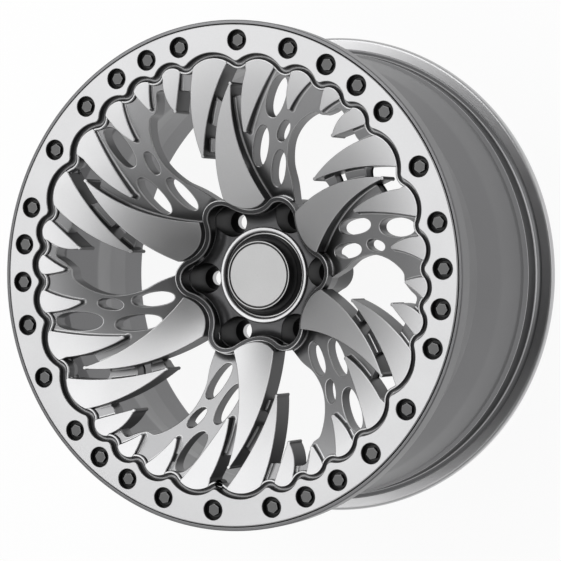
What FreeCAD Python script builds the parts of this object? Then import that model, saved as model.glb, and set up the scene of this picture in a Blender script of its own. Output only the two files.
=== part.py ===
import FreeCAD, Part
import math
import os

# A forged wheel with a bolted outer ring. Millimetres, hub mounting face on z = 0, +Z points outboard.
# Depths are measured inboard from the ring's front face.

# Rim
rim_diameter = 508.0
rim_width = 241.3
wheel_offset = 14.0
flange_height = 17.3
front_flange = 24.7
rear_flange = 12.0
flange_round = 4.0
bead_seat_width = 20.0
bead_seat_taper = 5.0
bead_seat_clearance = 0.35
bead_fillet = 3.5
hump_height = 1.2
hump_width = 4.0
barrel_wall = 5.0
well_r = 235.0
well_start = 84.0
well_end = 132.0
barrel_r = 250.0
barrel_start = 222.0
rear_foot = 6.0

# Clamp ring and its seat in the front flange
ring_thickness = 12.0
ring_r = 266.5
ring_gap = 0.4
ring_edge = 1.5
lip_drop = 1.0
lip_round = 2.0

# Ring bolts: one sector of five, going clockwise, repeated round the wheel
sectors = 6
bolt_circle_r = 249.8
bolt_first_angle = 83.8
bolt_steps = (14.0, 11.0, 9.5, 9.5, 16.0)
bolt_pocket_r = 11.0
bolt_pocket_depth = 8.0
bolt_hex_flats = 12.0
bolt_head_height = 6.0

# Scalloped inner edge of the ring, with the groove and the narrow land that follow it
scallop_crest_r = 237.5
scallop_cusp_r = 226.0
scallop_tip_r = 6.0
groove_width = 5.5
land_width = 2.5

# Dished face: the claws' front surface is turned as cones between these (radius, depth) points
dish_points = ((40.0, 80.0), (150.0, 27.6), (240.0, 1.6))
claw_height = 12.0
face_thickness = 30.0
lip_below_claws = 8.0
land_below_claws = 0.4
claw_back_step = 1.0

# Hub
web_inner_r = 87.0
lip_outer_r = 104.0
boss_step = 2.0
boss_top_depth = 78.0
hub_floor_depth = 95.0
bore_r = 53.05
bore_length = 12.0
cap_bore_r = 47.0
collar_inner_r = 48.5
collar_width = 4.5
collar_height = 3.0
lug_circle_r = 69.85
lug_pocket_top_r = 15.3
lug_pocket_r = 12.9
lug_seat_depth = 114.8
lug_seat_half_angle = 30.0
lug_hole_r = 8.0
hub_lip = 6.0
root_circle_r = 107.7
root_radius = 35.9

# Valve hole, drilled outwards and inboard through the rim
valve_hole_r = 5.65
valve_angle = 263.8
valve_tilt = 45.0
valve_centre_r = 237.0
valve_centre_depth = 40.0
valve_length = 60.0

# Centre cap
cap_gap = 0.3
cap_skirt_depth = 12.0
cap_wall = 3.0
cap_flare_r = 48.0
cap_flare_depth = 93.0
cap_neck_r = 40.0
cap_disc_rim_r = 37.2
cap_front_depth = 80.5
cap_disc_r = 34.2
cap_disc_recess = 1.2
cap_disc_proud = 0.2

# Claw outlines in one sector, seen from the front with the hub claw's root on +Y: the left edge's root
# and middle, the tip, and the right edge's middle and root, which two arcs pass through.
hub_claw = ((-26.1, 83.1), (-21.5, 136.9), (12.6, 205.6), (6.4, 152.0), (23.4, 80.5))
rim_claws = (
    ((-28.7, 224.7), (-40.9, 170.0), (-37.4, 128.3), (-18.0, 178.8), (11.9, 225.3)),
    ((32.1, 215.2), (19.8, 182.0), (18.2, 151.8), (39.4, 182.2), (67.3, 216.1)),
    ((83.8, 204.5), (77.2, 189.0), (76.2, 171.1), (92.0, 185.8), (110.6, 199.0)),
    ((121.6, 186.3), (117.4, 177.0), (115.2, 166.8), (129.0, 172.4), (141.9, 177.1)),
    ((152.1, 164.9), (139.1, 158.3), (124.6, 139.3), (149.2, 144.3), (168.4, 148.7)),
)

# Oval openings in the web: centre, half length, half width, angle of the long axis
oval_end_share = 0.55
oval_openings = (
    ((60.7, 187.1), 24.0, 10.0, 56.0),
    ((27.1, 137.8), 23.0, 8.5, 63.0),
    ((59.9, 151.1), 12.8, 6.0, 48.0),
    ((41.9, 113.0), 20.5, 8.0, 63.0),
)
# Window between the web, the claws and the hub, the hooked gap round the hub claw's tip, and the gap
# between the two bridges beside the hub claw. Their edges run on under the claws, which fill them in.
window = ((52.0, 62.0), (55.1, 97.3), (56.2, 119.3), (65.4, 141.8), (82.2, 158.0), (102.8, 166.9),
          (113.6, 163.4), (124.7, 165.3), (135.8, 168.2), (143.3, 157.8), (146.8, 148.6),
          (151.3, 138.4), (153.7, 126.3), (115.7, 107.2), (98.5, 101.0), (104.0, 90.0), (107.5, 80.0),
          (73.3, 52.3))
hook_gap = ((-12.1, 192.9), (-0.6, 183.3), (9.8, 189.7), (25.0, 193.0), (35.2, 216.5), (29.6, 223.0),
            (13.7, 225.5), (-0.9, 215.3))
bridge_gap = ((-38.0, 151.8), (-12.0, 144.0), (-6.0, 158.8), (-32.0, 166.8))

# Worked out from the sizes above
front_z = rim_width / 2 + front_flange - wheel_offset
flange_r = rim_diameter / 2 + flange_height
bead_r = rim_diameter / 2 - bead_seat_clearance
overall_width = front_flange + rim_width + rear_flange
turn = 360.0 / sectors
dish_inner_r = dish_points[0][0]
dish_outer_r = dish_points[-1][0]
clear = 5.0
overlap = 1.0
axis_z = FreeCAD.Vector(0, 0, 1)
origin = FreeCAD.Vector(0, 0, 0)


def level(depth):
    return front_z - depth


def polar(radius, angle):
    return (radius * math.cos(math.radians(angle)), radius * math.sin(math.radians(angle)))


def flat(point):
    return FreeCAD.Vector(point[0], point[1], 0)


def meridian(point):
    """A (radius, depth) point in the plane that is turned round the axis."""
    return FreeCAD.Vector(point[0], 0, level(point[1]))


def outline(place, start, steps):
    """Closed wire: a step is a point to draw a line to, or a pair (middle, end) of an arc."""
    edges = []
    here = start
    for step in tuple(steps) + (start,):
        if isinstance(step[0], tuple):
            middle, end = step
            edges.append(Part.Arc(place(here), place(middle), place(end)).toShape())
        else:
            end = step
            if place(here).distanceToPoint(place(end)) > 1e-6:
                edges.append(Part.LineSegment(place(here), place(end)).toShape())
        here = end
    return Part.Wire(edges)


def turned(start, steps):
    return Part.Face(outline(meridian, start, steps)).revolve(origin, axis_z, 360)


def column(wire, bottom, top):
    """A flat outline drawn through the wheel between two levels."""
    solid = Part.Face(wire).extrude(axis_z * (top - bottom))
    solid.translate(axis_z * bottom)
    return solid


def round_bar(radius, bottom, top, centre=(0.0, 0.0)):
    return Part.makeCylinder(radius, top - bottom, FreeCAD.Vector(centre[0], centre[1], bottom))


def round_the_wheel(shape):
    copies = []
    for index in range(sectors):
        copy = shape.copy()
        copy.rotate(origin, axis_z, index * turn)
        copies.append(copy)
    return copies


# Dished surface
def dish_depth(radius):
    """Depth of the claws' front surface at a radius."""
    for (inner_r, inner_depth), (outer_r, outer_depth) in zip(dish_points, dish_points[1:]):
        if radius <= outer_r:
            break
    share = (radius - inner_r) / (outer_r - inner_r)
    return inner_depth + share * (outer_depth - inner_depth)


def dish_slab(top_drop, bottom_drop, inner_r, outer_r):
    """The space between two copies of the dished surface, dropped inboard."""
    radii = [inner_r] + [radius for radius, depth in dish_points if inner_r < radius < outer_r] + [outer_r]
    front = [(radius, dish_depth(radius) + top_drop) for radius in radii]
    back = [(radius, dish_depth(radius) + bottom_drop) for radius in reversed(radii)]
    return turned(front[0], front[1:] + back)


# Ring bolts and the scallops between them
def bolt_angles():
    angles = []
    for sector in range(sectors):
        angle = bolt_first_angle - sector * turn
        for step in bolt_steps:
            angles.append(angle)
            angle -= step
    return angles


def scallop_discs():
    """Centre and radius of the disc whose edge makes each scallop, going clockwise."""
    discs = []
    for angle, step in zip(bolt_angles(), bolt_steps * sectors):
        half = math.radians(step / 2)
        half_chord = scallop_cusp_r * math.sin(half)
        height = scallop_crest_r - scallop_cusp_r * math.cos(half)
        radius = (half_chord ** 2 + height ** 2) / (2 * height)
        discs.append((polar(scallop_crest_r - radius, angle - step / 2), radius))
    return discs


def tip_centre(first, second):
    """Centre of the tip's rounding, outside two neighbouring discs and touching both."""
    (ax, ay), first_r = first
    (bx, by), second_r = second
    reach_a = first_r + scallop_tip_r
    reach_b = second_r + scallop_tip_r
    span = math.hypot(bx - ax, by - ay)
    along = (reach_a ** 2 - reach_b ** 2 + span ** 2) / (2 * span)
    across = math.sqrt(reach_a ** 2 - along ** 2)
    ux, uy = (bx - ax) / span, (by - ay) / span
    options = [(ax + ux * along - uy * side, ay + uy * along + ux * side) for side in (across, -across)]
    return max(options, key=lambda point: math.hypot(*point))


def towards(start, end, distance):
    span = math.hypot(end[0] - start[0], end[1] - start[1])
    share = distance / span
    return (start[0] + (end[0] - start[0]) * share, start[1] + (end[1] - start[1]) * share)


def scallop_wire(inset):
    """The ring's inner edge, moved inwards by an inset."""
    discs = scallop_discs()
    tips = [tip_centre(discs[index - 1], disc) for index, disc in enumerate(discs)]
    count = len(discs)
    steps = []
    for index, (centre, radius) in enumerate(discs):
        edge_r = radius - inset
        next_tip = tips[(index + 1) % count]
        next_centre, next_radius = discs[(index + 1) % count]
        crest = towards(centre, (0, 0), -edge_r)
        steps.append((crest, towards(centre, next_tip, edge_r)))
        steps.append((towards(next_tip, (0, 0), scallop_tip_r + inset),
                      towards(next_centre, next_tip, next_radius - inset)))
    first_centre, first_radius = discs[0]
    start = towards(first_centre, tips[0], first_radius - inset)
    return outline(flat, start, steps)


# Claws
def push_out(point, radius):
    share = radius / math.hypot(*point)
    return (point[0] * share, point[1] * share)


def claw_wire(points, root):
    """Left and right edge as arcs that meet at the tip, closed through the root's steps."""
    start, left, tip, right, end = points
    return outline(flat, start, ((left, tip), (right, end)) + root)


def rim_claw_wire(points):
    root_r = dish_outer_r - overlap
    return claw_wire(points, (push_out(points[-1], root_r), push_out(points[0], root_r)))


def hub_claw_wire():
    root_middle = (0.0, root_circle_r - root_radius)
    return claw_wire(hub_claw, ((root_middle, hub_claw[0]),))


def claws():
    bottom = level(dish_depth(dish_inner_r) + face_thickness) - clear
    top = front_z + clear
    wires = [hub_claw_wire()] + [rim_claw_wire(points) for points in rim_claws]
    sector = Part.makeCompound([column(wire, bottom, top) for wire in wires])
    blank = dish_slab(0.0, face_thickness - claw_back_step, dish_inner_r, dish_outer_r)
    return blank.common(Part.makeCompound(round_the_wheel(sector)))


# Web and its openings
def oval_wire(centre, half_length, half_width, angle):
    """Oval of four arcs that run into each other, turned to its angle."""
    end_r = half_width * oval_end_share
    reach = half_length - end_r
    side_r = (reach ** 2 + half_width ** 2 - end_r ** 2) / (2 * (half_width - end_r))
    scale = side_r / (side_r - end_r)
    join = (reach * scale, (half_width - side_r) + (side_r - half_width) * scale)
    points = []
    for x_sign, y_sign in ((1, 1), (-1, 1), (-1, -1), (1, -1)):
        points.append((join[0] * x_sign, join[1] * y_sign))
    right_up, left_up, left_down, right_down = points
    wire = outline(flat, right_up, (
        ((0.0, half_width), left_up), ((-half_length, 0.0), left_down),
        ((0.0, -half_width), right_down), ((half_length, 0.0), right_up),
    ))
    wire.rotate(origin, axis_z, angle)
    wire.translate(flat(centre))
    return wire


def web():
    bottom = level(dish_depth(dish_inner_r) + face_thickness) - clear
    top = front_z + clear
    wires = [oval_wire(*oval) for oval in oval_openings]
    wires += [outline(flat, points[0], points[1:]) for points in (window, hook_gap, bridge_gap)]
    openings = [column(wire, bottom, top) for wire in wires]
    blank = dish_slab(claw_height, face_thickness, web_inner_r, dish_outer_r - 2 * overlap)
    cuts = [copy for opening in openings for copy in round_the_wheel(opening)]
    return blank.cut(Part.makeCompound(cuts))


# Hub
def hub_wire(inset):
    """Outline of the lug pockets: a lobe round each lug, joined by arcs round the claws' roots."""
    reach = root_radius + hub_lip - inset
    steps = []
    start = None
    for index in range(sectors):
        lug = polar(lug_circle_r, index * turn)
        before = polar(root_circle_r, (index - 0.5) * turn)
        after = polar(root_circle_r, (index + 0.5) * turn)
        following = polar(lug_circle_r, (index + 1) * turn)
        lobe = math.hypot(lug[0] - after[0], lug[1] - after[1]) - reach
        if start is None:
            start = towards(before, lug, reach)
        steps.append((towards(lug, (0, 0), -lobe), towards(after, lug, reach)))
        steps.append((towards(after, (0, 0), reach), towards(after, following, reach)))
    return outline(flat, start, steps)


def hub_block():
    """Lip under the claws' roots and the lobed boss behind it, before the pockets are cut."""
    lip_blank = dish_slab(lip_below_claws, face_thickness - 3 * overlap, dish_inner_r, lip_outer_r)
    lip = lip_blank.common(column(hub_wire(hub_lip + overlap), 0.0, front_z))
    boss = column(hub_wire(hub_lip - boss_step), 0.0, level(boss_top_depth))
    return lip, boss


def lug_cutter():
    seat_drop = (lug_pocket_r - lug_hole_r) / math.tan(math.radians(lug_seat_half_angle))
    return turned((0.0, hub_floor_depth - clear), (
        (lug_pocket_top_r, hub_floor_depth - clear),
        (lug_pocket_top_r, hub_floor_depth), (lug_pocket_r, lug_seat_depth),
        (lug_hole_r, lug_seat_depth + seat_drop), (lug_hole_r, front_z + clear), (0.0, front_z + clear),
    ))


def hub_cutters():
    pocket = column(hub_wire(0.0), level(hub_floor_depth), front_z + clear)
    bore_end = front_z - bore_length
    bore = turned((0.0, front_z + clear), (
        (bore_r, front_z + clear), (bore_r, bore_end), (cap_bore_r, bore_end),
        (cap_bore_r, hub_floor_depth - clear), (0.0, hub_floor_depth - clear),
    ))
    lug = lug_cutter()
    lug.translate(flat((lug_circle_r, 0.0)))
    return [pocket, bore, Part.makeCompound(round_the_wheel(lug))]


def collar():
    outer_r = collar_inner_r + collar_width
    middle_r = collar_inner_r + collar_width / 2
    bottom = hub_floor_depth + clear
    shoulder = hub_floor_depth - collar_height / 2
    return turned((cap_bore_r, bottom), (
        (cap_bore_r, hub_floor_depth), (collar_inner_r, shoulder),
        (middle_r, hub_floor_depth - collar_height), (outer_r, shoulder),
        (outer_r, bottom),
    ))


# Rim
def barrel():
    bead_drop = bead_seat_width * math.tan(math.radians(bead_seat_taper))
    rear_inner = front_flange + rim_width
    seat_r = bead_r - bead_drop
    hump_r = seat_r + hump_height
    lip_inner_r = ring_r + ring_gap
    inner_well_r = well_r - barrel_wall
    inner_barrel_r = barrel_r - barrel_wall
    front_seat_end = front_flange + bead_seat_width
    rear_hump = rear_inner - bead_fillet - bead_seat_width
    return turned((inner_well_r, ring_thickness), (
        (lip_inner_r, ring_thickness),
        (lip_inner_r, lip_drop),
        (flange_r - lip_round, lip_drop),
        (flange_r, lip_drop + lip_round),
        (flange_r, front_flange),
        (bead_r, front_flange),
        (seat_r, front_seat_end),
        (well_r, well_start),
        (well_r, well_end),
        (barrel_r, barrel_start),
        (barrel_r, rear_hump - 2 * hump_width),
        (hump_r, rear_hump - hump_width / 2),
        (seat_r, rear_hump),
        (bead_r, rear_inner - bead_fillet),
        (bead_r + bead_fillet, rear_inner),
        (flange_r - flange_round, rear_inner),
        (flange_r, rear_inner + flange_round),
        (flange_r, overall_width),
        (flange_r - flange_round - rear_foot, overall_width),
        (inner_barrel_r, overall_width - rear_flange - bead_fillet),
        (inner_barrel_r, barrel_start),
        (inner_well_r, well_end),
    ))


def land():
    """Narrow raised edge that joins the claws' roots along the groove."""
    inner = column(scallop_wire(groove_width + land_width), 0.0, front_z + clear)
    inner_r = scallop_cusp_r - groove_width - 3 * land_width
    blank = dish_slab(land_below_claws, face_thickness - 2 * overlap, inner_r, dish_outer_r)
    return blank.cut(inner)


def seat_cutter():
    """Room for the ring, and for the groove that its scallops leave open."""
    seat = round_bar(ring_r, level(ring_thickness), front_z + clear)
    return seat.cut(column(scallop_wire(groove_width), level(ring_thickness), front_z + clear))


def valve_cutter():
    tilt = math.radians(valve_tilt)
    out_x, out_y = polar(math.sin(tilt), valve_angle)
    direction = FreeCAD.Vector(out_x, out_y, -math.cos(tilt))
    x, y = polar(valve_centre_r, valve_angle)
    start = FreeCAD.Vector(x, y, level(valve_centre_depth)) - direction * (valve_length / 2)
    return Part.makeCylinder(valve_hole_r, valve_length, start, direction)


def forged_wheel():
    lip, boss = hub_block()
    body = barrel()
    for piece in (boss, lip, land(), web(), claws()):
        body = body.fuse(piece)
    for cutter in hub_cutters() + [seat_cutter(), valve_cutter()]:
        body = body.cut(cutter)
    return body.fuse(collar())


def clamp_ring():
    blank = turned((scallop_cusp_r - clear, 0.0), (
        (ring_r - ring_edge, 0.0), (ring_r, ring_edge), (ring_r, ring_thickness),
        (scallop_cusp_r - clear, ring_thickness),
    ))
    bottom = level(ring_thickness) - clear
    cutters = [column(scallop_wire(0.0), bottom, front_z + clear)]
    for angle in bolt_angles():
        centre = polar(bolt_circle_r, angle)
        cutters.append(round_bar(bolt_pocket_r, level(bolt_pocket_depth), front_z + clear, centre))
    return blank.cut(Part.makeCompound(cutters))


def ring_bolt():
    seat = level(bolt_pocket_depth)
    corner_r = bolt_hex_flats / math.sqrt(3)
    corners = [polar(corner_r, index * 60.0) for index in range(6)]
    return column(outline(flat, corners[0], corners[1:]), seat, seat + bolt_head_height)


def ring_bolts():
    bolt = ring_bolt()
    bolts = []
    for angle in bolt_angles():
        copy = bolt.copy()
        copy.translate(flat((bolt_circle_r, 0.0)))
        copy.rotate(origin, axis_z, angle)
        bolts.append(copy)
    return Part.makeCompound(bolts)


def centre_cap():
    skirt_r = cap_bore_r - cap_gap
    skirt_end = hub_floor_depth + cap_skirt_depth
    inner_r = cap_disc_r - cap_wall
    roof = cap_front_depth + cap_wall + cap_disc_recess
    return turned((0.0, cap_front_depth + cap_disc_recess), (
        (cap_disc_r, cap_front_depth + cap_disc_recess), (cap_disc_r, cap_front_depth),
        (cap_disc_rim_r, cap_front_depth),
        (cap_neck_r, (cap_front_depth + cap_flare_depth) / 2 + cap_wall),
        (cap_flare_r, cap_flare_depth),
        (cap_flare_r, cap_flare_depth + cap_gap), (skirt_r, hub_floor_depth),
        (skirt_r, skirt_end), (inner_r, skirt_end), (inner_r, roof), (0.0, roof),
    ))


def cap_disc():
    bottom = level(cap_front_depth + cap_disc_recess)
    return round_bar(cap_disc_r - cap_gap / 2, bottom, level(cap_front_depth) + cap_disc_proud)


def main():
    os.makedirs("parts", exist_ok=True)
    nodes = {
        "forged_wheel": forged_wheel(),
        "clamp_ring": clamp_ring(),
        "ring_bolts": ring_bolts(),
        "centre_cap": centre_cap(),
        "cap_disc": cap_disc(),
    }
    for name, shape in nodes.items():
        shape.exportStep("parts/" + name + ".step")
        print(name, len(shape.Solids), "solids", round(shape.Volume), "mm3", shape.isValid())


if __name__ == "__main__":
    main()
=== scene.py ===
import bpy
import math
import numpy as np
from mathutils import Matrix, Vector
from mathutils.geometry import delaunay_2d_cdt


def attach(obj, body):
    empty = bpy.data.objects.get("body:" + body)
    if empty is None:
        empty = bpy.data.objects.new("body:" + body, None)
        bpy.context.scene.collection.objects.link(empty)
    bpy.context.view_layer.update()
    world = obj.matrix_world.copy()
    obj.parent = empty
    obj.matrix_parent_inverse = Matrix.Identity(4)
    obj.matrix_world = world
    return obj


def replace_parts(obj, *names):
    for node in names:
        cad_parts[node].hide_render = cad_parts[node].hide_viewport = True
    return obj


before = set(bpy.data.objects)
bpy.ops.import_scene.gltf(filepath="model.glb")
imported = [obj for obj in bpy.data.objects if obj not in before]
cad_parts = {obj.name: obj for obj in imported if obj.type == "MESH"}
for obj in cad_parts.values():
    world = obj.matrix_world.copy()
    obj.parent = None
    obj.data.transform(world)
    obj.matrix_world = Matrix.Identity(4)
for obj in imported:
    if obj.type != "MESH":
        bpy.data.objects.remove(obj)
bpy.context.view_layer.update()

# Sizes in millimetres, as in the part. Depths are measured inboard from the ring's front face.
MM = 0.001
front_z = 131.35
overall_width = 278.0
rear_z = front_z - overall_width
sectors = 6
turn = 360.0 / sectors

# Fineness of curves and meshes
curve_spacing = 1.5
fine_spacing = 0.5
hex_spacing = 2.0
curve_steps = 8
rounding_steps = 5
fillet_steps = 4
groove_rows = 9
oval_points = 64
barrel_segments = 240
ring_segments = 360
hub_segments = 120
well_segments = 64
hole_segments = 48
bolt_segments = 40
ring_grid = 8.0
hub_floor_grid = 2.5
net_row = 0.866
net_edge_gap = 1.5
batch = 500
weld = 1e-5
tiny = 1e-9
miter_limit = 0.6
least_rounding = 0.05
least_bend = 1e-3
corner_share = 0.49
buried_edge = 0.1

# Ring, its bolts and the scalloped groove
ring_r = 266.5
ring_thickness = 12.0
ring_outer_edge = 1.4
ring_inner_edge = 1.1
pocket_edge = 0.7
bolt_circle_r = 249.8
bolt_first_angle = 83.8
bolt_steps = (14.0, 11.0, 9.5, 9.5, 16.0)
bolt_pocket_r = 11.0
bolt_pocket_depth = 8.0
bolt_washer_r = 9.4
bolt_washer_height = 1.0
bolt_hex_flats = 11.6
bolt_hex_depth = 2.1
bolt_chamfer = 0.7
bolt_washer_top = bolt_pocket_depth - bolt_washer_height
hex_sides = 6
hex_turn = 360.0 / hex_sides
pocket_floor_overlap = 0.3
scallop_crest_r = 237.5
scallop_cusp_r = 226.0
scallop_tip_r = 6.0
groove_width = 5.5
groove_depth = 10.0
land_width = 2.6
land_drop = 0.6
land_edge = 1.1
valve_mouth_r = 4.8
valve_mouth_place_r = 222.5
valve_angle = 264.4
valve_mouth_depth = 6.2
valve_floor_depth = 18.0

# Dished face: the claws' front surface is an arc through these (radius, depth) points
dish_arc = ((60.0, 70.0), (165.0, 22.6), (228.0, 4.0))
claw_height = 12.0
web_tilt = 0.11
web_pivot_r = 165.0
claw_edge = 1.0
claw_foot = 2.2
face_thickness = 30.0
web_thickness = face_thickness - claw_height
web_under_land = 0.5
web_under_lip = 1.5
web_edge = 1.2
web_grid = 4.5
claw_grid = 4.0

# Hub
lip_drop = 8.0
lip_edge = 1.2
lip_inner_wall = 3.0
lip_outer_wall = 12.0
hub_lip = 6.0
root_circle_r = 107.7
root_radius = 35.9
lug_circle_r = 69.85
hub_floor_depth = 95.0
floor_fillet = 12.0
floor_edge = 0.3
floor_wall = 1.0
floor_under_collar = 1.0
collar_hole_edge = 0.05
collar_hole_wall = 4.0
well_edge = 0.6
well_rim_wall = 0.7
lug_well_r = 16.6
lug_pocket_r = 12.9
lug_seat_depth = 114.8
lug_hole_r = 8.0
lug_seat_half_angle = 30.0
lug_seat_drop = (lug_pocket_r - lug_hole_r) / math.tan(math.radians(lug_seat_half_angle))
collar_inner_r = 45.4
collar_outer_r = 52.4
collar_height = 3.0
boss_step = 2.0
boss_top_depth = 78.0
bore_r = 53.05

# Centre cap
cap_rim_r = 37.2
cap_front_depth = 80.5
cap_disc_r = 34.2
cap_recess_depth = cap_front_depth + 1.2

# Turned profiles, their corners given as (radius, depth, rounding)
barrel_profile = (
    (238.0, 30.0), (230.0, 60.0, 6.0), (230.0, 132.0, 30.0), (240.2, 177.0, 60.0), (245.0, 222.0, 30.0),
    (245.0, 262.5, 4.0), (259.0, 277.0, 2.0), (261.3, 278.0, 0.8), (267.5, 278.0, 3.0), (271.3, 273.5, 3.0),
    (271.3, 266.0, 7.0), (257.0, 266.0, 4.0), (252.9, 262.0, 4.0), (251.6, 242.5, 1.5),
    (253.1, 239.5, 2.0), (250.0, 232.0, 4.0), (250.0, 222.0, 30.0), (245.2, 177.0, 60.0),
    (235.0, 132.0, 8.0), (235.0, 84.0, 4.0), (251.9, 52.5, 4.0), (253.1, 50.0, 2.0), (251.9, 48.0, 2.0),
    (253.65, 28.2, 3.0), (257.15, 24.7, 3.0), (267.3, 24.7, 3.0), (271.3, 20.7, 3.0), (271.3, 1.6, 1.6),
    (267.2, 1.0, 0.8), (267.2, 14.0),
)

# Painted highlights on the barrel: the flange beyond (depth, radius), lines as (depths from, to, radii from,
# to)
flange_highlight = (264.0, 261.0)
bead_highlight_lines = ((238.0, 241.0, 250.0, 275.0), (258.0, 263.0, 252.0, 255.0))

# More turned profiles, given in the same way
ring_seat_profile = ((268.0, ring_thickness + 0.2), (225.0, ring_thickness + 0.2))
valve_profile = ((valve_mouth_r, valve_mouth_depth), (valve_mouth_r, valve_floor_depth, 0.5),
                 (0.3, valve_floor_depth))
bolt_profile = ((bolt_washer_r, bolt_pocket_depth), (bolt_washer_r, bolt_washer_top, 0.5),
                (bolt_washer_r - 1.5, bolt_washer_top - 0.4, 1.0), (0.5, bolt_washer_top - 0.6))
lug_profile = ((lug_pocket_r + 0.5, lug_seat_depth - 1.0), (lug_pocket_r, lug_seat_depth, 0.8),
               (lug_hole_r, lug_seat_depth + lug_seat_drop, 0.5), (lug_hole_r, front_z))
collar_profile = ((collar_outer_r + 0.6, hub_floor_depth + 0.4),
                  (collar_outer_r, hub_floor_depth - collar_height, 1.8),
                  (collar_inner_r + 1.5, hub_floor_depth - collar_height + 0.6, 4.5),
                  (collar_inner_r, hub_floor_depth + 4.0))
bore_profile = ((bore_r, hub_floor_depth + 2.0), (bore_r, front_z))
cap_profile = ((collar_inner_r - 0.2, hub_floor_depth + 2.0), (collar_inner_r - 0.6, 93.5, 1.0),
               (42.0, 92.0, 6.0), (39.0, 84.0, 4.0), (cap_rim_r, cap_front_depth, 0.5),
               (cap_disc_r + 1.2, cap_front_depth, 0.5), (cap_disc_r + 0.9, cap_recess_depth),
               (0.5, cap_recess_depth))
cap_rim_profile = ((cap_rim_r + 0.1, cap_front_depth + 0.6), (cap_rim_r, cap_front_depth - 0.2, 0.4),
                   (cap_rim_r - 1.4, cap_front_depth - 0.2, 0.4), (cap_rim_r - 1.6, cap_front_depth + 0.8))
disc_profile = ((cap_disc_r, cap_recess_depth), (cap_disc_r, cap_front_depth - 0.1, 0.5),
                (0.3, cap_front_depth - 0.1))

# Finish of the metal: fine grain, and broad patches of gloss
grain_scale = 900.0
grain_detail = 3.0
grain_spread = 0.06
grain_bump = 0.02
grain_height = 0.0002
patch_scale = 14.0
patch_detail = 4.0
patch_gloss = 0.03
patch_range = (0.3, 0.7)

# Surroundings: the floor's reach in metres, and strengths of light by height above the horizon
floor_reach = 8.0
floor_shade = 0.9
floor_glow = 0.93
horizon_light = 0.62
zenith_light = 0.16
horizon_band = (0.3, 0.7)

# Claws and openings of one sector, as (x, y) points
hub_claw = ((-26.1, 83.1), (-21.5, 136.9), (9.4, 203.2), (12.6, 205.6), (12.0, 201.8), (6.4, 152.0),
            (23.4, 80.5))
rim_claws = (
    ((-28.7, 224.7), (-40.9, 170.0), (-38.9, 131.5), (-37.4, 128.3), (-35.8, 131.5), (-18.0, 178.8),
     (11.9, 225.3)),
    ((32.1, 215.2), (19.8, 182.0), (16.4, 155.0), (18.2, 151.8), (20.8, 154.6), (39.4, 182.2),
     (67.3, 216.1)),
    ((83.8, 204.5), (77.2, 189.0), (74.6, 174.0), (76.2, 171.1), (79.0, 172.6), (92.0, 185.8),
     (110.6, 199.0)),
    ((121.6, 186.3), (117.4, 177.0), (114.6, 169.4), (115.2, 166.8), (118.2, 167.2), (129.0, 172.4),
     (141.9, 177.1)),
    ((152.1, 164.9), (139.1, 158.3), (126.2, 142.6), (124.6, 139.3), (128.0, 139.6), (149.2, 144.3),
     (168.4, 148.7)),
)
oval_power = 0.9
oval_openings = (
    ((60.7, 187.1), 24.0, 10.0, 56.0),
    ((27.1, 137.8), 23.0, 8.5, 63.0),
    ((59.9, 151.1), 12.8, 6.0, 48.0),
    ((41.9, 113.0), 20.5, 8.0, 63.0),
)
window = ((52.0, 62.0), (55.1, 97.3), (56.2, 119.3), (65.4, 141.8), (82.2, 158.0), (102.8, 166.9),
          (113.6, 163.4), (124.7, 165.3), (135.8, 168.2), (143.3, 157.8), (146.8, 148.6),
          (151.3, 138.4), (153.7, 126.3), (115.7, 107.2), (98.5, 101.0), (104.0, 90.0), (107.5, 80.0),
          (73.3, 52.3))
hook_gap = ((-12.1, 192.9), (-0.6, 183.3), (9.8, 189.7), (25.0, 193.0), (35.2, 216.5), (29.6, 223.0),
            (13.7, 225.5), (-0.9, 215.3))
bridge_gap = ((-38.0, 151.8), (-25.0, 147.6), (-12.0, 144.0), (-6.0, 158.8), (-19.0, 162.6), (-32.0, 166.8))


# Flat outlines, as arrays of points going counter-clockwise
def polar(radius, angle):
    return np.array((radius * math.cos(math.radians(angle)), radius * math.sin(math.radians(angle))))


def level(depth):
    return front_z - depth


def circle_through(a, b, c):
    (ax, ay), (bx, by), (cx, cy) = a, b, c
    d = 2 * (ax * (by - cy) + bx * (cy - ay) + cx * (ay - by))
    a2, b2, c2 = ax * ax + ay * ay, bx * bx + by * by, cx * cx + cy * cy
    x = (a2 * (by - cy) + b2 * (cy - ay) + c2 * (ay - by)) / d
    y = (a2 * (cx - bx) + b2 * (ax - cx) + c2 * (bx - ax)) / d
    return np.array((x, y)), math.hypot(ax - x, ay - y)


def arc(a, b, c, spacing=curve_spacing):
    """Points on the arc from a through b, up to but without c."""
    centre, radius = circle_through(a, b, c)
    start, middle, end = (math.atan2(p[1] - centre[1], p[0] - centre[0]) for p in (a, b, c))
    full = 2 * math.pi
    sweep = (end - start) % full
    if (middle - start) % full > sweep:
        sweep -= full
    count = max(3, math.ceil(abs(sweep) * radius / spacing))
    angles = start + sweep * np.arange(count) / count
    return centre + radius * np.stack((np.cos(angles), np.sin(angles)), 1)


def line(a, b, spacing):
    a, b = np.array(a, float), np.array(b, float)
    count = max(1, math.ceil(np.linalg.norm(b - a) / spacing))
    return a + (b - a) * (np.arange(count) / count)[:, None]


def circle(radius, count, centre=(0.0, 0.0)):
    angles = np.arange(count) * (2 * math.pi / count)
    return np.array(centre) + radius * np.stack((np.cos(angles), np.sin(angles)), 1)


def spun(points, angle):
    c, s = math.cos(math.radians(angle)), math.sin(math.radians(angle))
    return points @ np.array(((c, s), (-s, c)))


def towards(start, end, distance):
    start, end = np.array(start, float), np.array(end, float)
    return start + (end - start) * (distance / np.linalg.norm(end - start))


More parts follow.
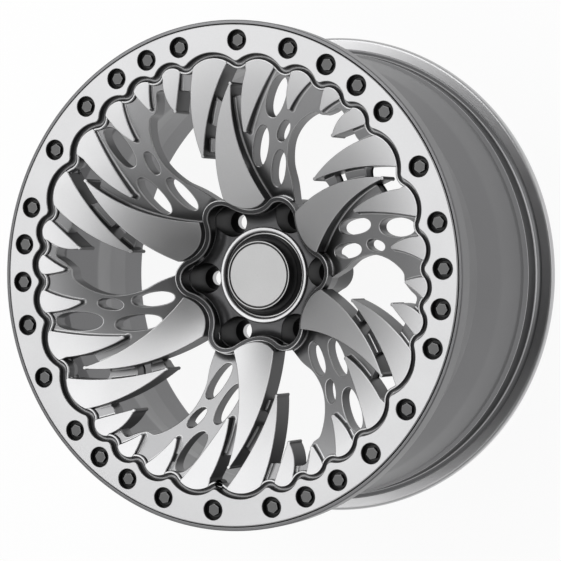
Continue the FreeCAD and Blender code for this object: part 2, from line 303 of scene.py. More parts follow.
def smooth_loop(points):
    """Closed curve through the points."""
    p1 = np.array(points, float)
    p0, p2, p3 = np.roll(p1, 1, 0), np.roll(p1, -1, 0), np.roll(p1, -2, 0)
    rows = []
    for t in np.arange(curve_steps) / curve_steps:
        rows.append(0.5 * (2 * p1 + (p2 - p0) * t + (2 * p0 - 5 * p1 + 4 * p2 - p3) * t ** 2
                           + (3 * p1 - p0 - 3 * p2 + p3) * t ** 3))
    return np.stack(rows, 1).reshape(-1, 2)


def inward(loop):
    """Miter direction into the left side of each point of a closed outline, and its stretch."""
    before = loop - np.roll(loop, 1, 0)
    after = np.roll(loop, -1, 0) - loop
    normals = []
    for step in (before, after):
        length = np.maximum(np.linalg.norm(step, axis=1), tiny)
        normals.append(np.stack((-step[:, 1], step[:, 0]), 1) / length[:, None])
    middle = normals[0] + normals[1]
    middle /= np.maximum(np.linalg.norm(middle, axis=1), tiny)[:, None]
    stretch = 1 / np.maximum((middle * normals[0]).sum(1), miter_limit)
    return middle, stretch[:, None]


def inside(points, loop):
    """Which points lie inside a closed outline."""
    result = np.zeros(len(points), bool)
    ends = np.roll(loop, -1, 0)
    x, y = points[:, 0], points[:, 1]
    for (ax, ay), (bx, by) in zip(loop, ends):
        if ay == by:
            continue
        crosses = (ay > y) != (by > y)
        result ^= crosses & (x < (bx - ax) * (y - ay) / (by - ay) + ax)
    return result


def between(points, outer, openings):
    """Which points lie inside an outline and outside its openings."""
    good = inside(points, outer)
    for loop in openings:
        good &= ~inside(points, loop)
    return good


def bolt_angles():
    angles = []
    for sector in range(sectors):
        angle = bolt_first_angle - sector * turn
        for step in bolt_steps:
            angles.append(angle)
            angle -= step
    return angles


def scallop_discs():
    discs = []
    for angle, step in zip(bolt_angles(), bolt_steps * sectors):
        half = math.radians(step / 2)
        half_chord = scallop_cusp_r * math.sin(half)
        height = scallop_crest_r - scallop_cusp_r * math.cos(half)
        radius = (half_chord ** 2 + height ** 2) / (2 * height)
        discs.append((polar(scallop_crest_r - radius, angle - step / 2), radius))
    return discs


def tip_centre(first, second):
    (a, first_r), (b, second_r) = first, second
    reach_a = first_r + scallop_tip_r
    reach_b = second_r + scallop_tip_r
    span = np.linalg.norm(b - a)
    along = (reach_a ** 2 - reach_b ** 2 + span ** 2) / (2 * span)
    across = math.sqrt(reach_a ** 2 - along ** 2)
    u = (b - a) / span
    options = [a + u * along + np.array((-u[1], u[0])) * side for side in (across, -across)]
    return max(options, key=np.linalg.norm)


def scallop_loop(inset):
    """The ring's inner edge, moved inwards by an inset."""
    discs = scallop_discs()
    tips = [tip_centre(discs[index - 1], disc) for index, disc in enumerate(discs)]
    count = len(discs)
    points = []
    for index, (centre, radius) in enumerate(discs):
        edge_r = radius - inset
        tip, next_tip = tips[index], tips[(index + 1) % count]
        next_centre, next_radius = discs[(index + 1) % count]
        start = towards(centre, tip, edge_r)
        end = towards(centre, next_tip, edge_r)
        points.append(arc(start, towards(centre, (0, 0), -edge_r), end))
        points.append(arc(end, towards(next_tip, (0, 0), scallop_tip_r + inset),
                          towards(next_centre, next_tip, next_radius - inset)))
    return np.concatenate(points)[::-1]


def hub_loop(inset):
    """Outline of the lug pockets, grown outwards by an inset."""
    reach = root_radius + hub_lip - inset
    points = []
    for index in range(sectors):
        lug = polar(lug_circle_r, index * turn)
        before = polar(root_circle_r, (index - 0.5) * turn)
        after = polar(root_circle_r, (index + 0.5) * turn)
        following = polar(lug_circle_r, (index + 1) * turn)
        lobe = np.linalg.norm(lug - after) - reach
        start, end = towards(before, lug, reach), towards(after, lug, reach)
        points.append(arc(start, towards(lug, (0, 0), -lobe), end))
        points.append(arc(end, towards(after, (0, 0), reach), towards(after, following, reach)))
    return np.concatenate(points)


def claw_sides(points):
    start, left, left_end, tip, right_end, right, end = points
    return np.concatenate((arc(start, left, left_end), arc(left_end, tip, right_end, fine_spacing),
                           arc(right_end, right, end)))


def rim_claw_loop(points, edge):
    """A claw that grows from the groove's edge."""
    far = scallop_crest_r + groove_width
    first, last = np.array(points[0]), np.array(points[-1])
    out_first = first * (far / np.linalg.norm(first))
    out_last = last * (far / np.linalg.norm(last))
    path = np.concatenate((line(out_first, first, fine_spacing), claw_sides(points),
                           line(last, out_last, fine_spacing)))
    kept = path[inside(path, edge)]
    angle_of = np.unwrap(np.arctan2(edge[:, 1], edge[:, 0]))
    ends = np.arctan2(kept[[-1, 0], 1], kept[[-1, 0], 0])
    centre = np.arctan2(*(first + last)[::-1])
    nearest = (angle_of - centre + math.pi) % (2 * math.pi) - math.pi
    low, high = ((ends - centre + math.pi) % (2 * math.pi)) - math.pi
    spanned = (nearest > low) & (nearest < high)
    root = edge[spanned][np.argsort(nearest[spanned])]
    return np.concatenate((kept, root))


def hub_claw_loop():
    root = arc(hub_claw[-1], (0.0, root_circle_r - root_radius), hub_claw[0])
    return np.concatenate((claw_sides(hub_claw), root))[::-1]


def oval_loop(centre, half_length, half_width, angle):
    t = np.arange(oval_points) * (2 * math.pi / oval_points)
    x = half_length * np.sign(np.cos(t)) * np.abs(np.cos(t)) ** oval_power
    y = half_width * np.sign(np.sin(t)) * np.abs(np.sin(t)) ** oval_power
    return spun(np.stack((x, y), 1), angle) + np.array(centre)


# Front surfaces: height and normal at flat points
dish_centre, dish_radius = circle_through(*dish_arc)


def dish(drop):
    def surface(points):
        radius = np.linalg.norm(points, axis=1)
        run = radius - dish_centre[0]
        height = np.sqrt(dish_radius ** 2 - run ** 2)
        side = 1.0 if dish_centre[1] > dish_arc[1][1] else -1.0
        depth = dish_centre[1] - side * height
        slope = -side * run / height
        around = points / np.maximum(radius, tiny)[:, None]
        normal = np.concatenate((-around * slope[:, None], np.ones((len(points), 1))), 1)
        return level(depth + drop), normal / np.linalg.norm(normal, axis=1)[:, None]
    return surface


def web_face(points):
    """The web is a little steeper than the claws' faces: deeper towards the hub."""
    height, normal = dish(claw_height)(points)
    radius = np.linalg.norm(points, axis=1)
    around = points / np.maximum(radius, tiny)[:, None]
    normal = normal / normal[:, 2:]
    normal[:, :2] -= around * web_tilt
    return height + web_tilt * (radius - web_pivot_r), normal / np.linalg.norm(normal, axis=1)[:, None]


def plane(depth):
    def surface(points):
        normal = np.zeros((len(points), 3))
        normal[:, 2] = 1.0
        return np.full(len(points), level(depth)), normal
    return surface


# Mesh building: lists of vertices, faces and normals that are joined into pieces
class Shape:
    def __init__(self):
        self.points = []
        self.normals = []
        self.faces = []
        self.finish = []
        self.count = 0

    def add(self, points, normals, faces, finish=0):
        self.points.append(np.asarray(points, float))
        self.normals.append(np.asarray(normals, float))
        self.faces.extend([tuple(int(i) + self.count for i in face) for face in faces])
        self.finish.extend([finish] * len(faces))
        self.count += len(points)

    def add_rings(self, rings, normals, finish=0):
        """Quads between closed rings of equal length, the front on the left of their direction."""
        size = len(rings[0])
        faces = []
        for row in range(len(rings) - 1):
            a, b = row * size, (row + 1) * size
            for i in range(size):
                j = (i + 1) % size
                faces.append((a + i, a + j, b + j, b + i))
        self.add(np.concatenate(rings), np.concatenate(normals), faces, finish)

    def join(self, other, angle=0.0, shift=(0.0, 0.0)):
        for points, normals in zip(other.points, other.normals):
            moved, turned_normals = points.copy(), normals.copy()
            moved[:, :2] = spun(points[:, :2], angle) + np.array(shift)
            turned_normals[:, :2] = spun(normals[:, :2], angle)
            self.points.append(moved)
            self.normals.append(turned_normals)
        self.faces.extend([tuple(i + self.count for i in face) for face in other.faces])
        self.finish.extend(other.finish)
        self.count += other.count
        return self

    def round_the_wheel(self):
        result = Shape()
        for index in range(sectors):
            result.join(self, index * turn)
        return result

    def piece(self, name, materials, slot):
        mesh = bpy.data.meshes.new(name)
        points = np.concatenate(self.points) * MM
        normals = np.concatenate(self.normals)
        mesh.from_pydata(points.tolist(), [], self.faces)
        mesh.polygons.foreach_set("use_smooth", [True] * len(mesh.polygons))
        mesh.update()
        mesh.normals_split_custom_set_from_vertices(normals.tolist())
        for material in materials:
            mesh.materials.append(material)
        mesh.polygons.foreach_set("material_index", self.finish)
        obj = bpy.data.objects.new(name, mesh)
        bpy.context.scene.collection.objects.link(obj)
        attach(obj, "root")
        return obj


def lifted(points, heights):
    return np.concatenate((points, np.asarray(heights, float).reshape(-1, 1)), 1)


def fill(loops, surface, keep, grid):
    """Triangles over the flat area inside the loops, with points spread over it."""
    points = list(loops)
    edges = []
    start = 0
    for loop in loops:
        size = len(loop)
        edges.extend((start + i, start + (i + 1) % size) for i in range(size))
        start += size
    if grid:
        low = np.min([loop.min(0) for loop in loops], 0)
        high = np.max([loop.max(0) for loop in loops], 0)
        rows = np.arange(low[1], high[1], grid * net_row)
        net = []
        for index, y in enumerate(rows):
            xs = np.arange(low[0] + (index % 2) * grid / 2, high[0], grid)
            net.append(np.stack((xs, np.full(len(xs), y)), 1))
        net = np.concatenate(net)
        net = net[keep(net)]
        border = np.concatenate(loops)
        clear = np.ones(len(net), bool)
        for part in range(0, len(net), batch):
            chunk = net[part:part + batch]
            gap = ((chunk[:, None, :] - border[None, :, :]) ** 2).sum(2).min(1)
            clear[part:part + batch] = gap > net_edge_gap ** 2
        points.append(net[clear])
    flat = np.concatenate(points)
    result = delaunay_2d_cdt([Vector(p) for p in flat.tolist()], edges, [], 0, weld)
    corners = np.array([tuple(v) for v in result[0]])
    faces = np.array([face for face in result[2] if len(face) == 3])
    middles = corners[faces].mean(1)
    faces = faces[keep(middles)]
    heights, normals = surface(corners)
    return lifted(corners, heights), normals, faces


def edge_rings(loop, surface, edge, drop):
    """Rounded edge along a loop and the wall below it; returns the rings and the loop they end on."""
    direction, stretch = inward(loop)
    out = np.concatenate((-direction, np.zeros((len(loop), 1))), 1)
    rings, normals = [], []
    rings.append(lifted(loop, surface(loop)[0] - drop))
    normals.append(out)
    last = loop
    for t in np.linspace(0.0, math.pi / 2, rounding_steps):
        last = loop + direction * stretch * (edge * (1 - math.cos(t)))
        height, up = surface(last)
        rings.append(lifted(last, height - edge * (1 - math.sin(t))))
        normals.append(out * math.cos(t) + up * math.sin(t))
    return rings, normals, last


def plate(outer, holes, surface, edge, drop, grid, bottom=True, edge_highlight_finish=0):
    """A plate with rounded edges and walls: holes are (loop, edge, drop), loops counter-clockwise. The
    rounded edges take a finish of their own, a brighter metal as painted highlight where one is given.
    """
    shape = Shape()
    rims = [(outer, edge, drop)]
    rims += [(loop[::-1], hole_edge, hole_drop) for loop, hole_edge, hole_drop in holes]
    inner = []
    for loop, rim_edge, rim_drop in rims:
        rings, normals, last = edge_rings(loop, surface, rim_edge, rim_drop)
        shape.add_rings(rings[:2], normals[:2], finish=1)
        shape.add_rings(rings[1:], normals[1:], finish=edge_highlight_finish)
        inner.append(last)

    def keep(points):
        return between(points, inner[0], inner[1:])

    points, normals, faces = fill(inner, surface, keep, grid)
    shape.add(points, normals, faces)
    if bottom:
        back = points.copy()
        back[:, 2] = surface(points[:, :2])[0] - drop
        shape.add(back, -normals, faces[:, ::-1], finish=1)
    return shape


def rounded_profile(corners):
    """Profile (radius, depth) with corners (radius, depth, rounding); gives points and outward normals."""
    points, normals = [], []
    raw = [np.array(corner[:2], float) for corner in corners]
    for index, corner in enumerate(corners):
        here = raw[index]
        if index in (0, len(corners) - 1):
            other = raw[1] if index == 0 else raw[-2]
            along = (other - here) if index == 0 else (here - other)
            along = along / np.linalg.norm(along)
            points.append(here)
            normals.append(np.array((-along[1], along[0])))
            continue
        before, after = raw[index - 1], raw[index + 1]
        u = (here - before) / np.linalg.norm(here - before)
        w = (after - here) / np.linalg.norm(after - here)
        rounding = max(corner[2] if len(corner) > 2 else 0.0, least_rounding)
        bend = math.acos(max(-1.0, min(1.0, float(u @ w))))
        if bend < least_bend:
            points.append(here)
            normals.append(np.array((-u[1], u[0])))
            continue
        reach = min(rounding * math.tan(bend / 2), corner_share * np.linalg.norm(here - before),
                    corner_share * np.linalg.norm(after - here))
        radius = reach / math.tan(bend / 2)
        start = here - u * reach
        side = 1.0 if u[0] * w[1] - u[1] * w[0] > 0 else -1.0
        left = np.array((-u[1], u[0]))
        centre = start + left * side * radius
        for k in range(rounding_steps + 1):
            angle = side * bend * k / rounding_steps
            c, s = math.cos(angle), math.sin(angle)
            arm = start - centre
            spot = centre + np.array((c * arm[0] - s * arm[1], s * arm[0] + c * arm[1]))
            points.append(spot)
            normals.append(np.array((c * left[0] - s * left[1], s * left[0] + c * left[1])))
    return np.array(points), np.array(normals)


def turned(corners, count, finish_at=None):
    """A profile turned round the axis; its front is on the left of the profile's direction."""
    points, normals = rounded_profile(corners)
    shape = Shape()
    angles = np.arange(count) * (2 * math.pi / count)
    c, s = np.cos(angles), np.sin(angles)
    rings, ring_normals = [], []
    for (radius, depth), (out, inboard) in zip(points, normals):
        rings.append(np.stack((radius * c, radius * s, np.full(count, level(depth))), 1))
        ring_normals.append(np.stack((out * c, out * s, np.full(count, -inboard)), 1))
    shape.add_rings(rings, ring_normals)
    if finish_at:
        rows = [finish_at(*(points[i] + points[i + 1]) / 2) for i in range(len(points) - 1)]
        shape.finish = [rows[i // count] for i in range(len(shape.faces))]
    return shape


# Materials
def ramp(nodes, low, high, stops):
    node = nodes.new("ShaderNodeMapRange")
    node.inputs["From Min"].default_value = stops[0]
    node.inputs["From Max"].default_value = stops[1]
    node.inputs["To Min"].default_value = low
    node.inputs["To Max"].default_value = high
    return node


def metal(name, colour, metallic, roughness):
    """Satin finish over metal: fine grain in colour and surface, broad patches in roughness."""
    material = bpy.data.materials.new(name)
    material.use_nodes = True
    nodes, links = material.node_tree.nodes, material.node_tree.links
    shader = nodes["Principled BSDF"]
    shader.inputs["Metallic"].default_value = metallic
    place = nodes.new("ShaderNodeTexCoord")
    fine = nodes.new("ShaderNodeTexNoise")
    fine.inputs["Scale"].default_value = grain_scale
    fine.inputs["Detail"].default_value = grain_detail
    broad = nodes.new("ShaderNodeTexNoise")
    broad.inputs["Scale"].default_value = patch_scale
    broad.inputs["Detail"].default_value = patch_detail
    links.new(place.outputs["Object"], fine.inputs["Vector"])
    links.new(place.outputs["Object"], broad.inputs["Vector"])
    blend = nodes.new("ShaderNodeMix")
    blend.data_type = "RGBA"
    blend.inputs["A"].default_value = (*[c * (1 - grain_spread) for c in colour], 1.0)
    blend.inputs["B"].default_value = (*[min(1.0, c * (1 + grain_spread)) for c in colour], 1.0)
    links.new(fine.outputs["Fac"], blend.inputs["Factor"])
    links.new(blend.outputs["Result"], shader.inputs["Base Color"])
    gloss = ramp(nodes, roughness - patch_gloss, roughness + patch_gloss, patch_range)
    links.new(broad.outputs["Fac"], gloss.inputs["Value"])
    links.new(gloss.outputs["Result"], shader.inputs["Roughness"])
    relief = nodes.new("ShaderNodeBump")
    relief.inputs["Strength"].default_value = grain_bump
    relief.inputs["Distance"].default_value = grain_height
    links.new(fine.outputs["Fac"], relief.inputs["Height"])
    links.new(relief.outputs["Normal"], shader.inputs["Normal"])
    return material


claw_metal = metal("claw_metal", colour=(0.43, 0.43, 0.434), metallic=1.0, roughness=0.33)
ring_metal = metal("ring_metal", colour=(0.36, 0.36, 0.364), metallic=1.0, roughness=0.3)
# The web's metal is the claws' metal made darker, as painted shade of the recess between the claws.
web_shaded_metal = metal("web_shaded_metal", colour=(0.27, 0.27, 0.274), metallic=1.0, roughness=0.32)
barrel_metal = metal("barrel_metal", colour=(0.17, 0.17, 0.174), metallic=0.95, roughness=0.38)
# Bright metal for painted highlights: the claws' rounded edges and feet, the lug holes below their seats, the
# barrel's flange and bead lines.
highlight_metal = metal("highlight_metal", colour=(0.5, 0.5, 0.505), metallic=1.0, roughness=0.34)
# Dark metal on the side walls of the claws, the land and the hub lip: painted shade on the walls.
wall_shade_metal = metal("wall_shade_metal", colour=(0.08, 0.08, 0.082), metallic=0.9, roughness=0.4)
# The walls of the web's openings are darker still, as painted shade.
web_wall_shade_metal = metal("web_wall_shade_metal", colour=(0.15, 0.15, 0.153), metallic=0.95, roughness=0.38)
groove_metal = metal("groove_metal", colour=(0.2, 0.2, 0.203), metallic=0.95, roughness=0.4)
hub_metal = metal("hub_metal", colour=(0.065, 0.065, 0.067), metallic=0.9, roughness=0.4)
# Near-black metal on the hub's pocket wall, lug wells and seats: painted shade of the deep pockets.
pocket_painted_shade = metal("pocket_painted_shade", colour=(0.025, 0.025, 0.026), metallic=0.8, roughness=0.36)
# Near-black painted shade: the ring's walls, the bolt pockets' floors, the bolts' washers and hex sides, the
# sheet behind the ring and the valve hole.
painted_shade_black = metal("painted_shade_black", colour=(0.012, 0.012, 0.012), metallic=0.2, roughness=0.5)
bolt_metal = metal("bolt_metal", colour=(0.08, 0.08, 0.08), metallic=0.9, roughness=0.34)
cap_black = metal("cap_black", colour=(0.016, 0.016, 0.0165), metallic=0.4, roughness=0.3)
disc_metal = metal("disc_metal", colour=(0.3, 0.3, 0.3), metallic=1.0, roughness=0.38)

# Openings of the web
web_outline = scallop_loop(groove_width + web_under_land)
holes = []
for index in range(sectors):
    angle = index * turn
    for oval in oval_openings:
        holes.append((spun(oval_loop(*oval), angle), web_edge, web_thickness))
    for points in (window, hook_gap, bridge_gap):
        holes.append((spun(smooth_loop(points)[::-1], angle), web_edge, web_thickness))
holes.append((hub_loop(hub_lip - web_under_lip), buried_edge, web_thickness))


def on_web(points):
    return between(points, web_outline, [hole[0] for hole in holes])


def foot_fillet(loop):
    """Hollow rounding between a claw's wall and the web, where there is web beside the claw."""
    direction = inward(loop)[0]
    out = np.concatenate((-direction, np.zeros((len(loop), 1))), 1)
    rings, normals = [], []
    for t in np.linspace(0.0, math.pi / 2, fillet_steps):
        spot = loop - direction * claw_foot * (1 - math.sin(t))
        height, up = web_face(spot)
        rings.append(lifted(spot, height + claw_foot * (1 - math.cos(t))))
        normals.append(out * math.sin(t) + up * math.cos(t))
    shape = Shape()
    shape.add_rings(rings, normals)
    held = on_web(loop - direction * (claw_foot + web_edge))
    size = len(loop)
    kept = [held[face[0] % size] and held[face[1] % size] for face in shape.faces]
    shape.faces = [face for face, keep in zip(shape.faces, kept) if keep]
    shape.finish = shape.finish[:len(shape.faces)]
    return shape


# Claws
groove_edge = scallop_loop(groove_width)
claw_sector = Shape()
claw_loops = [hub_claw_loop()] + [rim_claw_loop(points, groove_edge) for points in rim_claws]
for loop in claw_loops:
    claw_sector.join(plate(loop, [], dish(0.0), claw_edge, face_thickness, claw_grid, edge_highlight_finish=2))

claw_fillet = Shape()
for loop in claw_loops:
    claw_fillet.join(foot_fillet(loop))
claw_feet = claw_fillet.round_the_wheel().join(foot_fillet(hub_loop(hub_lip)))
# The claws' feet take the bright metal as painted highlight.
claw_feet.piece("claw_feet", [highlight_metal], "forging")
# The claws' rounded top edges take the bright metal as painted highlight.
claws = claw_sector.round_the_wheel().piece("claws", [claw_metal, wall_shade_metal, highlight_metal], "forging")
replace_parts(claws, "forged_wheel")

# Web
web = plate(web_outline, holes, web_face, buried_edge, web_thickness, web_grid, edge_highlight_finish=2)
# The web carries painted shade of the recess, and its openings' walls more painted shade. Their rounded edges
# take the claws' metal as painted highlight.
web.piece("web", [web_shaded_metal, web_wall_shade_metal, claw_metal], "forging")

# Narrow land along the groove, and the groove's round bottom, both pierced by the valve hole
valve_place = polar(valve_mouth_place_r, valve_angle)


def pierced(shape):
    """Takes out the faces inside the valve hole's mouth."""
    points = np.concatenate(shape.points)[:, :2]
    clear = [np.linalg.norm(points[list(face)].mean(0) - valve_place) > valve_mouth_r for face in shape.faces]
    shape.finish = [finish for finish, keep in zip(shape.finish, clear) if keep]
    shape.faces = [face for face, keep in zip(shape.faces, clear) if keep]
    return shape


land = plate(groove_edge, [(scallop_loop(groove_width + land_width), land_edge, claw_height)],
             dish(land_drop), land_edge, groove_depth, grid=0, bottom=False)
pierced(land).piece("land", [claw_metal, wall_shade_metal], "forging")
groove = Shape()
groove_rings, groove_normals = [], []
half_groove = groove_width / 2
for t in np.linspace(0.0, math.pi, groove_rows):
    inset = half_groove * (1 - math.cos(t))
    loop = scallop_loop(inset)
    depth = groove_depth - half_groove * (1 - math.sin(t))
    direction = inward(loop)[0]
    groove_rings.append(lifted(loop, np.full(len(loop), level(depth))))
    groove_normals.append(np.concatenate((direction * math.cos(t), np.full((len(loop), 1), math.sin(t))), 1))
groove_count = min(len(ring) for ring in groove_rings)
for index, ring in enumerate(groove_rings):
    pick = np.round(np.linspace(0, len(ring) - 1, groove_count)).astype(int)
    groove_rings[index] = ring[pick]
    groove_normals[index] = groove_normals[index][pick]
groove.add_rings(groove_rings, groove_normals)
pierced(groove).piece("groove", [groove_metal], "forging")
# The valve hole is a blind cup in near-black, as painted shade of the hole.
valve_hole = turned(valve_profile, bolt_segments)
Shape().join(valve_hole, 0.0, valve_place).piece("valve_hole", [painted_shade_black], "forging")

# Hub: lip round the pockets, pocket wall running into the floor, lug pockets and collar
lip = plate(hub_loop(hub_lip), [(hub_loop(0.0), lip_edge, lip_inner_wall)], dish(lip_drop), lip_edge,
            lip_outer_wall, grid=0, bottom=False, edge_highlight_finish=2)
# The lip's rounded edge takes the claws' metal as painted highlight.
lip.piece("hub_lip", [hub_metal, wall_shade_metal, claw_metal], "forging")

edge_loop = hub_loop(0.0)


def pocket_floor_surface(points):
    """Flat round the collar, and curving up towards the pocket's wall."""
    def height(spots):
        result = np.empty(len(spots))
        for part in range(0, len(spots), batch):
            chunk = spots[part:part + batch]
            gap = np.sqrt(((chunk[:, None, :] - edge_loop[None, :, :]) ** 2).sum(2).min(1))
            near = np.clip(floor_fillet - gap, 0.0, floor_fillet)
            result[part:part + batch] = floor_fillet - np.sqrt(floor_fillet ** 2 - near ** 2)
        return result
    step = 0.4
    rise = height(points)
    slope = np.stack([(height(points + np.array(d) * step) - height(points - np.array(d) * step)) / (2 * step)
                      for d in ((1.0, 0.0), (0.0, 1.0))], 1)
    normal = np.concatenate((-slope, np.ones((len(points), 1))), 1)
    return level(hub_floor_depth) + rise, normal / np.linalg.norm(normal, axis=1)[:, None]


hub = Shape()
direction = inward(edge_loop)[0]
flat_in = np.concatenate((direction, np.zeros((len(edge_loop), 1))), 1)
wall_top = lifted(edge_loop, dish(lip_drop)(edge_loop)[0] - lip_edge)
wall_foot = lifted(edge_loop, np.full(len(edge_loop), level(hub_floor_depth)))
hub.add_rings([wall_top, wall_foot], [flat_in, flat_in], finish=1)
lug_places = [polar(lug_circle_r, index * turn) for index in range(sectors)]
well_loops = [circle(lug_well_r, well_segments, place) for place in lug_places]
collar_hole = circle(collar_outer_r - floor_under_collar, hub_segments)
floor_holes = [(collar_hole, collar_hole_edge, collar_hole_wall)]
floor_holes += [(loop, well_edge, well_rim_wall) for loop in well_loops]
hub.join(plate(edge_loop, floor_holes, pocket_floor_surface, floor_edge, floor_wall, hub_floor_grid,
               bottom=False))
for loop in well_loops:
    centre = loop.mean(0)
    arms = (loop - centre) / lug_well_r
    across = np.concatenate((-arms, np.zeros((len(arms), 1))), 1)
    top = lifted(loop, pocket_floor_surface(loop)[0] - well_edge)
    foot = lifted(centre + arms * lug_pocket_r, np.full(len(loop), level(lug_seat_depth)))
    hub.add_rings([top, foot], [across, across], finish=1)
lug = turned(lug_profile, hole_segments,
             finish_at=lambda radius, depth: 2 if depth > lug_seat_depth + lug_seat_drop / 2 else 1)
for place in lug_places:
    hub.join(lug, 0.0, place)
# The pocket wall, wells and seats take the near-black painted shade, and the lug holes below the seats take
# the bright metal as painted highlight.
hub.piece("hub_pockets", [hub_metal, pocket_painted_shade, highlight_metal], "forging")

collar = turned(collar_profile, hub_segments)
collar.piece("hub_collar", [claw_metal], "forging")

# Back of the hub: lobed boss with the bore and the stud holes
boss_loop = hub_loop(hub_lip - boss_step)
boss_out = np.concatenate((-inward(boss_loop)[0], np.zeros((len(boss_loop), 1))), 1)
boss = Shape()
boss_rings = [lifted(boss_loop, np.full(len(boss_loop), level(depth)))
              for depth in (front_z, boss_top_depth)]
boss.add_rings(boss_rings, [boss_out, boss_out])
face_loops = [boss_loop, circle(bore_r, hub_segments)]
face_loops += [circle(lug_hole_r, hole_segments, place) for place in lug_places]


def on_boss(points):
    return between(points, face_loops[0], face_loops[1:])


face_points, face_normals, face_triangles = fill(face_loops, plane(front_z), on_boss, grid=0)
boss.add(face_points, -face_normals, face_triangles[:, ::-1])
boss.join(turned(bore_profile, hub_segments))
boss.piece("hub_boss", [hub_metal], "forging")


# Barrel
def barrel_highlight_finish(radius, depth):
    """The rear flange and two lines along the bead seat carry a painted highlight."""
    if depth > flange_highlight[0] and radius > flange_highlight[1]:
        return 1
    for low, high, inner, outer in bead_highlight_lines:
        if low < depth < high and inner < radius < outer:
            return 1
    return 0


# The barrel's flange and bead lines take the bright metal as painted highlight.
barrel = turned(barrel_profile, barrel_segments, finish_at=barrel_highlight_finish)
barrel.piece("barrel", [barrel_metal, highlight_metal], "forging")
# A near-black sheet just behind the ring, seen in the gaps at its edges: painted shade.
seat_ring = turned(ring_seat_profile, hub_segments)
seat_ring.piece("ring_seat", [painted_shade_black], "forging")

# Ring with its bolt pockets
bolt_places = [polar(bolt_circle_r, angle) for angle in bolt_angles()]
ring_holes = [(scallop_loop(0.0), ring_inner_edge, ring_thickness)]
for place in bolt_places:
    ring_holes.append((circle(bolt_pocket_r, hole_segments, place), pocket_edge, bolt_pocket_depth))
# The ring's walls, at its inner edge and round the bolt pockets, are near-black painted shade.
ring = plate(circle(ring_r, ring_segments), ring_holes, plane(0.0), ring_outer_edge, ring_thickness,
             ring_grid, bottom=False)
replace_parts(ring.piece("outer_ring", [ring_metal, painted_shade_black], "ring"), "clamp_ring")
# The bolt pockets' floors are near-black painted shade.
one_floor = Shape()
one_floor.add(*fill([circle(bolt_pocket_r + pocket_floor_overlap, hole_segments)], plane(bolt_pocket_depth),
                    lambda points: np.ones(len(points), bool), grid=0))
pocket_floor = Shape()
for place in bolt_places:
    pocket_floor.join(one_floor, 0.0, place)
pocket_floor.piece("pocket_floors", [painted_shade_black], "ring")

# Flanged hex bolts
bolt = turned(bolt_profile, bolt_segments)
bolt.finish = [1] * len(bolt.faces)
hex_points = [polar(bolt_hex_flats / math.sqrt(3), hex_turn * index) for index in range(hex_sides + 1)]
hexagon = np.concatenate([line(a, b, hex_spacing) for a, b in zip(hex_points, hex_points[1:])])
bolt.join(plate(hexagon, [], plane(bolt_hex_depth), bolt_chamfer, bolt_pocket_depth - bolt_hex_depth, grid=0,
                bottom=False, edge_highlight_finish=2))
# The bolts' washers and hex sides are near-black painted shade, and the hex's chamfered edge takes the
# groove's lighter metal as painted highlight.
bolts = Shape()
for angle, place in zip(bolt_angles(), bolt_places):
    bolts.join(bolt, angle, place)
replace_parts(bolts.piece("bolts", [bolt_metal, painted_shade_black, groove_metal], "bolts"), "ring_bolts")

# Centre cap and its plain disc
cap = turned(cap_profile, hub_segments)
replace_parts(cap.piece("cap", [cap_black], "cap"), "centre_cap")
rim_line = turned(cap_rim_profile, hub_segments)
rim_line.piece("cap_rim", [disc_metal], "cap")
disc = turned(disc_profile, hub_segments)
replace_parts(disc.piece("disc", [disc_metal], "disc"), "cap_disc")


# Floor, light and camera
def floor_material():
    material = bpy.data.materials.new("pale_floor")
    material.use_nodes = True
    nodes, links = material.node_tree.nodes, material.node_tree.links
    nodes.remove(nodes["Principled BSDF"])
    out = nodes["Material Output"]
    matt = nodes.new("ShaderNodeBsdfDiffuse")
    matt.inputs["Color"].default_value = (floor_shade, floor_shade, floor_shade, 1.0)
    glow = nodes.new("ShaderNodeEmission")
    glow.inputs["Color"].default_value = (1.0, 1.0, 1.0, 1.0)
    path = nodes.new("ShaderNodeLightPath")
    seen = nodes.new("ShaderNodeMath")
    seen.operation = "MAXIMUM"
    links.new(path.outputs["Is Camera Ray"], seen.inputs[0])
    links.new(path.outputs["Is Glossy Ray"], seen.inputs[1])
    share = nodes.new("ShaderNodeMath")
    share.operation = "MULTIPLY"
    share.inputs[1].default_value = floor_glow
    links.new(seen.outputs[0], share.inputs[0])
    mix = nodes.new("ShaderNodeMixShader")
    links.new(share.outputs[0], mix.inputs["Fac"])
    links.new(matt.outputs[0], mix.inputs[1])
    links.new(glow.outputs[0], mix.inputs[2])
    links.new(mix.outputs[0], out.inputs["Surface"])
    return material


floor_mesh = bpy.data.meshes.new("floor")
floor_signs = ((-1, -1), (1, -1), (1, 1), (-1, 1))
floor_corners = [(x * floor_reach, y * floor_reach, rear_z * MM) for x, y in floor_signs]
floor_mesh.from_pydata(floor_corners, [], [(0, 1, 2, 3)])
floor_mesh.materials.append(floor_material())
floor = bpy.data.objects.new("floor", floor_mesh)
bpy.context.scene.collection.objects.link(floor)


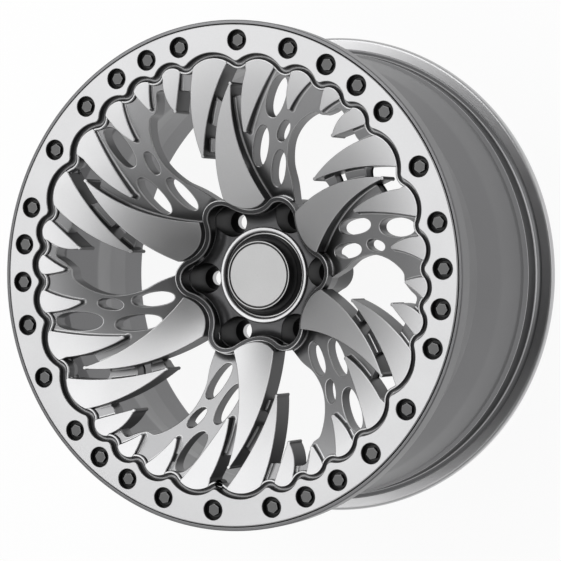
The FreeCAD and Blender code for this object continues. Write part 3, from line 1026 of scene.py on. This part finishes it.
def softbox(name, place, aim, size, radiance, twist=0.0):
    light = bpy.data.lights.new(name, "AREA")
    light.shape = "RECTANGLE"
    light.size, light.size_y = size
    light.energy = radiance * math.pi * size[0] * size[1]
    obj = bpy.data.objects.new(name, light)
    obj.location = place
    obj.rotation_euler = (Vector(aim) - Vector(place)).to_track_quat("-Z", "Y").to_euler()
    obj.rotation_euler.rotate_axis("Z", math.radians(twist))
    bpy.context.scene.collection.objects.link(obj)


softbox("overhead_panel", place=(-1.07, 1.7, 2.6), aim=(-1.07, 1.7, 0.0), size=(3.1, 5.0), radiance=2.1,
        twist=-12.0)
softbox("second_panel", place=(-1.7, -2.1, 2.6), aim=(-1.7, -2.1, 0.0), size=(3.4, 2.4), radiance=0.85)
softbox("low_panel", place=(4.0, 0.9, 1.9), aim=(0.0, 0.0, 0.0), size=(4.5, 1.8), radiance=1.2)

# Surrounding light: soft glow along the horizon that fades upwards
world = bpy.data.worlds.new("studio")
bpy.context.scene.world = world
world.use_nodes = True
backdrop = world.node_tree.nodes["Background"]
backdrop.inputs["Color"].default_value = (1.0, 1.0, 1.0, 1.0)
world_nodes, world_links = world.node_tree.nodes, world.node_tree.links
sky_place = world_nodes.new("ShaderNodeTexCoord")
sky_axes = world_nodes.new("ShaderNodeSeparateXYZ")
sky_fall = ramp(world_nodes, horizon_light, zenith_light, horizon_band)
world_links.new(sky_place.outputs["Generated"], sky_axes.inputs["Vector"])
world_links.new(sky_axes.outputs["Z"], sky_fall.inputs["Value"])
world_links.new(sky_fall.outputs["Result"], backdrop.inputs["Strength"])

camera_data = bpy.data.cameras.new("camera")
camera_data.lens = 172.5
camera_data.sensor_width = 36.0
camera_data.clip_end = 50.0
camera = bpy.data.objects.new("camera", camera_data)
eye = Vector((1.2977, -0.04725, 2.66985))
aim = Vector((0.0655, -0.0083, 0.13135))
up = Vector((0.0515, 0.9987, 0.0))
back_axis = (eye - aim).normalized()
right_axis = up.cross(back_axis).normalized()
up_axis = back_axis.cross(right_axis)
camera_rows = [[axis[i] for axis in (right_axis, up_axis, back_axis, eye)] for i in range(3)]
camera.matrix_world = Matrix(camera_rows + [[0, 0, 0, 1]])
bpy.context.scene.collection.objects.link(camera)
bpy.context.scene.camera = camera
bpy.context.scene.view_settings.view_transform = "Standard"
